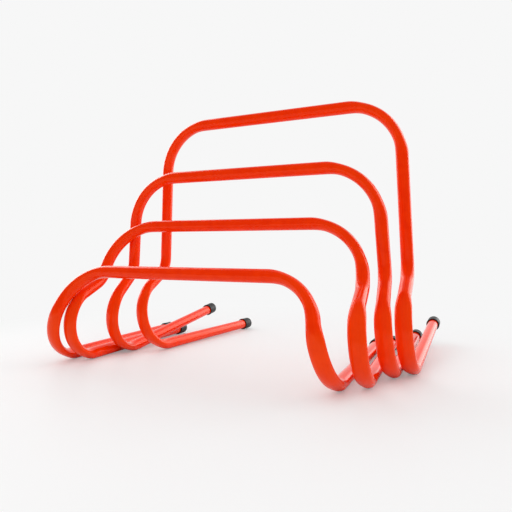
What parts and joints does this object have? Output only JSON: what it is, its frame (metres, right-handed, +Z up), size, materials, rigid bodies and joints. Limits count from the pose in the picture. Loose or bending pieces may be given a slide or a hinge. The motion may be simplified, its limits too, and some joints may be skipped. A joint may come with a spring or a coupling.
{
  "type": "speed hurdle set",
  "caption": "Nested set of low training hurdles of rising height, each a glossy bent plastic tube with a square arch, curved front feet and black push-on end caps.",
  "frame": {"origin": "on the floor under the middle of the nested set's box", "axes": "+Z up, +X to the right along the bars seen from the front, +Y back along the feet"},
  "size_m": [0.5514, 0.4703, 0.4089],
  "materials": {
    "tube": "glossy orange",
    "cap": "satin black"
  },
  "bodies": {
    "hurdle_1": {"hurdle_1_tube": "tube", "hurdle_1_left_cap": "cap", "hurdle_1_right_cap": "cap"},
    "hurdle_2": {"hurdle_2_tube": "tube", "hurdle_2_left_cap": "cap", "hurdle_2_right_cap": "cap"},
    "hurdle_3": {"hurdle_3_tube": "tube", "hurdle_3_left_cap": "cap", "hurdle_3_right_cap": "cap"},
    "hurdle_4": {"hurdle_4_tube": "tube", "hurdle_4_left_cap": "cap", "hurdle_4_right_cap": "cap"}
  },
  "joints": [
    {"name": "hurdle_3_slide", "type": "slide", "parent": "hurdle_4", "child": "hurdle_3", "axis": [0, -1, 0], "range_m": [0, 0.36]},
    {"name": "hurdle_2_slide", "type": "slide", "parent": "hurdle_3", "child": "hurdle_2", "axis": [0, -1, 0], "range_m": [0, 0.36]},
    {"name": "hurdle_1_slide", "type": "slide", "parent": "hurdle_2", "child": "hurdle_1", "axis": [0, -1, 0], "range_m": [0, 0.36]}
  ]
}
